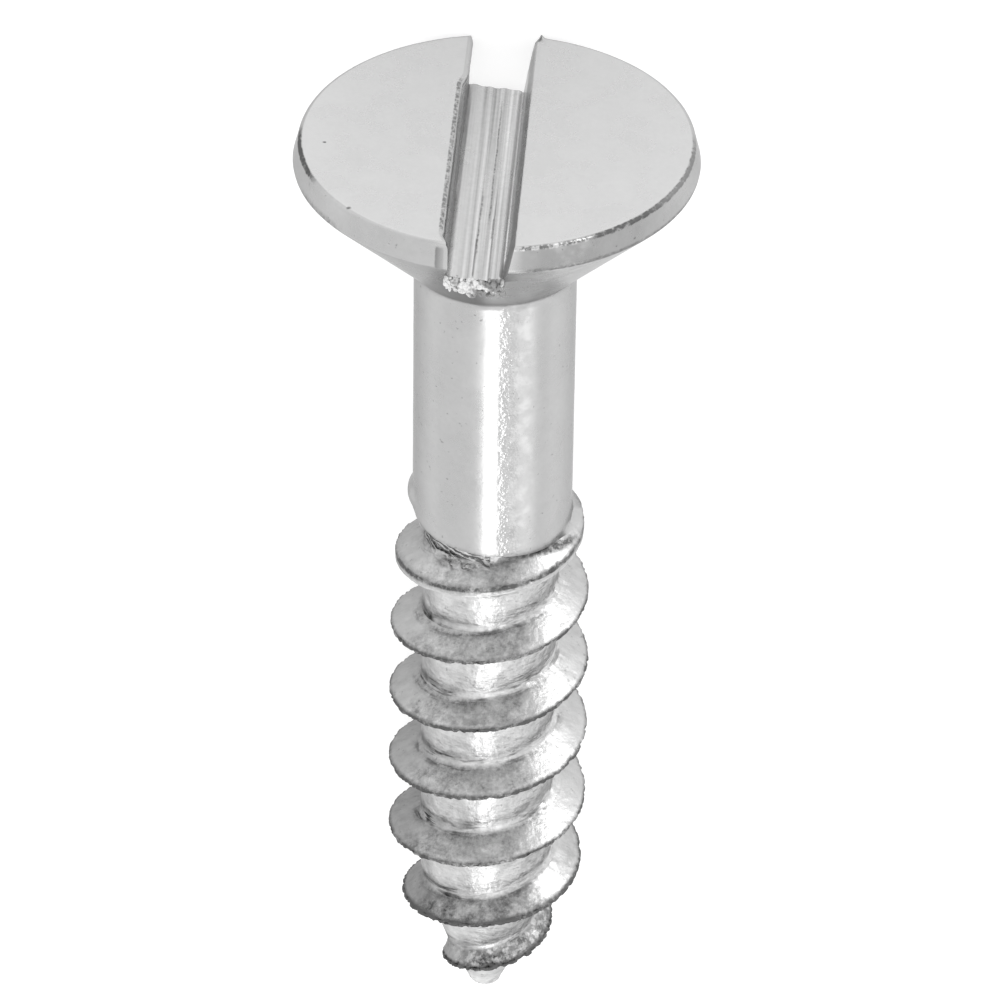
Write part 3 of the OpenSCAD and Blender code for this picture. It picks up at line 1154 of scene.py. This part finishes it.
def torn_steel():
    """The burr's torn metal: bright and dark crumbs, rough all over, with
    painted light towards the upper left and painted shade towards the lower right.
    """
    material, net = new_material("torn_steel")
    place = net.add("ShaderNodeTexCoord", out="Object")
    patch = net.noise(place, 0.28 * MM, 2.0, 0.5, 22.0)
    fine = net.noise(place, 0.04 * MM, 2.0, 0.6, 23.0)
    x = net.add("ShaderNodeAttribute", {"attribute_name": "own_x"}, out="Fac")
    z = net.add("ShaderNodeAttribute", {"attribute_name": "own_z"}, out="Fac")
    # Painted light and shade: palest at the upper left, darkest at the lower right
    lean = 0.12 * net.ramp(x, 0.1, 0.6) - 0.14 * net.ramp(z, -0.15, -0.4) * net.ramp(x, 0.5, 0.2)
    pale = net.ramp(patch + lean, 0.42, 0.56)
    bump = net.add("ShaderNodeBump", None, {"Distance": 1.0, "Height": 0.01 * MM * fine})
    grey = net.clamp(0.28 + 0.42 * pale + 0.2 * (fine - 0.5), 0.1, 0.85)
    grey_steel(net, grey, {"Metallic": 0.15, "Roughness": 0.7, "Normal": bump})
    return material


# ------------------------------------------------------------------- operators


def mount(name):
    """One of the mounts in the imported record."""
    return next(m for m in frame["record"]["mounts"] if m["name"] == name)


def lying(head):
    """How the screw lies: from its own axes, point at the origin and head up,
    to the table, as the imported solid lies."""
    up = Vector(mount("head_face")["axis"]).normalized()
    rim_foot = head.screw_length - head.rim_height
    base = Vector(mount("countersink_seat")["pos_m"]) - up * rim_foot
    across = Vector((1.0, 0.0, 0.0))
    axes = Matrix((across, up.cross(across), up)).transposed().to_4x4()
    axes.translation = base
    slot_corners = [math.asin(wall_x(head, side, rim_foot) / head.radius) for side in (-1, 1)]
    return axes @ Matrix.Rotation(-sum(slot_corners) / 2, 4, "Z")


def show(name, data):
    """A new object in the scene, at the origin."""
    obj = bpy.data.objects.new(name, data)
    bpy.context.scene.collection.objects.link(obj)
    return obj


def direction(azimuth, elevation):
    """Towards a place round the table: its azimuth counts from the head's side
    towards +X, and its elevation from the table."""
    level = math.cos(elevation)
    return Vector((math.sin(azimuth) * level, -math.cos(azimuth) * level, math.sin(elevation)))


class WOODSCREW_OT_screw(Operator):
    """Make the screw: slotted head, shank, rolled thread and point in one piece"""

    bl_idname = "woodscrew.screw"
    bl_label = "Screw"
    bl_options = {"REGISTER", "UNDO"}

    def execute(self, context):
        scene = context.scene
        head, thread = scene.screw_head, scene.screw_thread
        steel = plated_steel(scene.screw_finish, head.screw_length / MM, thread.pitch / MM)
        values = thread_inputs(head, thread, steel)
        mesh = grown(head_skin(head, thread).mesh("blank"), screw_tree(values), values, head)
        edit = bmesh.new()
        edit.from_mesh(mesh)
        bmesh.ops.recalc_face_normals(edit, faces=edit.faces)
        edit.to_mesh(mesh)
        edit.free()
        mesh.set_sharp_from_angle(angle=math.radians(40))
        mesh.name = "screw_body"
        piece = show("screw_body", mesh)
        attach(piece, BODY)
        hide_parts(CAD_NODE)
        return {"FINISHED"}


class WOODSCREW_OT_burr(Operator):
    """Make the burr: torn crumbs of metal at the front end of the slot"""

    bl_idname = "woodscrew.burr"
    bl_label = "Slot Burr"
    bl_options = {"REGISTER", "UNDO"}

    def execute(self, context):
        scene = context.scene
        values = burr_inputs(scene.screw_head, torn_steel())
        blank = bpy.data.meshes.new("blank")
        mesh = grown(blank, burr_tree(values), values, scene.screw_head)
        mesh.name = "slot_burr"
        piece = show("slot_burr", mesh)
        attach(piece, BODY)
        return {"FINISHED"}


def pale_floor():
    """A plain white light table, matt all over."""
    material = bpy.data.materials.new("pale_table")
    material.use_nodes = True
    sheet = material.node_tree.nodes["Principled BSDF"]
    sheet.inputs["Base Color"].default_value = (0.55, 0.55, 0.55, 1.0)
    sheet.inputs["Emission Color"].default_value = (1.0, 1.0, 1.0, 1.0)
    sheet.inputs["Emission Strength"].default_value = 0.55
    sheet.inputs["Roughness"].default_value = 0.9
    sheet.inputs["Specular IOR Level"].default_value = 0.0
    return material


# Soft lights: name, azimuth and elevation in degrees, distance, width, height
# and radiance
LIGHTS = (
    ("far_strip", 176.6, 48, 0.5, 0.11, 0.30, 3.4),
    ("right_box", -137, 32, 0.6, 0.18, 0.3, 0.6),
    ("top_box", 0, 75, 0.8, 0.5, 0.5, 0.8),
    ("side_box", -38, 6, 0.6, 0.30, 0.16, 8.0),
)


def soft_light(name, azimuth, elevation, distance, width, height, radiance):
    """A soft light aimed at the screw."""
    away = direction(math.radians(azimuth), math.radians(elevation))
    lamp = bpy.data.lights.new(name, "AREA")
    lamp.shape = "RECTANGLE"
    lamp.size, lamp.size_y = width, height
    lamp.energy = radiance * math.pi * width * height
    obj = show(name, lamp)
    obj.location = away * distance
    obj.rotation_euler = away.to_track_quat("Z", "Y").to_euler()


def studio():
    """Plain white light from all round."""
    world = bpy.data.worlds.new("studio")
    world.use_nodes = True
    background = world.node_tree.nodes["Background"]
    background.inputs["Color"].default_value = (1.0, 1.0, 1.0, 1.0)
    background.inputs["Strength"].default_value = 1.15
    return world


class WOODSCREW_OT_stage(Operator):
    """Make the pale table, the soft light and the camera"""

    bl_idname = "woodscrew.stage"
    bl_label = "Stage"
    bl_options = {"REGISTER", "UNDO"}

    def execute(self, context):
        scene, stage = context.scene, context.scene.screw_stage
        reach = 2.0
        skin = Skin()
        skin.patch([[(x * reach, y * reach, 0) for x in (-1, 1)] for y in (-1, 1)])
        table = show("table", skin.mesh("table"))
        table.data.materials.append(pale_floor())

        scene.view_settings.view_transform = "Standard"
        scene.world = studio()
        for light in LIGHTS:
            soft_light(*light)

        away = direction(stage.azimuth, stage.elevation)
        aim = lying(scene.screw_head) @ Vector((0, 0, stage.aim_height))
        aim = aim - Vector((stage.aim_aside, 0, 0))
        lens = bpy.data.cameras.new("camera")
        lens.lens = stage.lens
        lens.sensor_width = 36.0
        lens.clip_start, lens.clip_end = 0.001, 20.0
        camera = show("camera", lens)
        place = Matrix.Translation(aim + away * stage.distance)
        turn = away.to_track_quat("Z", "Y").to_matrix().to_4x4()
        camera.matrix_world = place @ turn @ Matrix.Rotation(stage.roll, 4, "Z")
        scene.camera = camera
        return {"FINISHED"}


class WOODSCREW_PT_panel(Panel):
    """Lists the pieces"""

    bl_idname = "WOODSCREW_PT_panel"
    bl_label = "Wood Screw"
    bl_space_type = "VIEW_3D"
    bl_region_type = "UI"
    bl_category = "Wood Screw"

    def draw(self, context):
        for operator in OPERATORS:
            self.layout.operator(operator.bl_idname)
        for group in GROUPS:
            box = self.layout.box()
            values = getattr(context.scene, group)
            for name in values.bl_rna.properties.keys():
                if name not in ("rna_type", "name"):
                    box.prop(values, name)


OPERATORS = (WOODSCREW_OT_screw, WOODSCREW_OT_burr, WOODSCREW_OT_stage)
GROUPS = {
    "screw_head": HeadSizes,
    "screw_thread": ThreadSizes,
    "screw_finish": FinishSettings,
    "screw_stage": StageSettings,
}


def register():
    for cls in (*GROUPS.values(), *OPERATORS, WOODSCREW_PT_panel):
        bpy.utils.register_class(cls)
    for name, cls in GROUPS.items():
        setattr(bpy.types.Scene, name, PointerProperty(type=cls))


def unregister():
    for name in GROUPS:
        delattr(bpy.types.Scene, name)
    for cls in reversed((*GROUPS.values(), *OPERATORS, WOODSCREW_PT_panel)):
        bpy.utils.unregister_class(cls)


def main():
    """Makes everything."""
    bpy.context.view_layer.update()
    register()
    bpy.ops.woodscrew.screw()
    bpy.ops.woodscrew.burr()
    bpy.ops.woodscrew.stage()


if __name__ == "__main__":
    main()
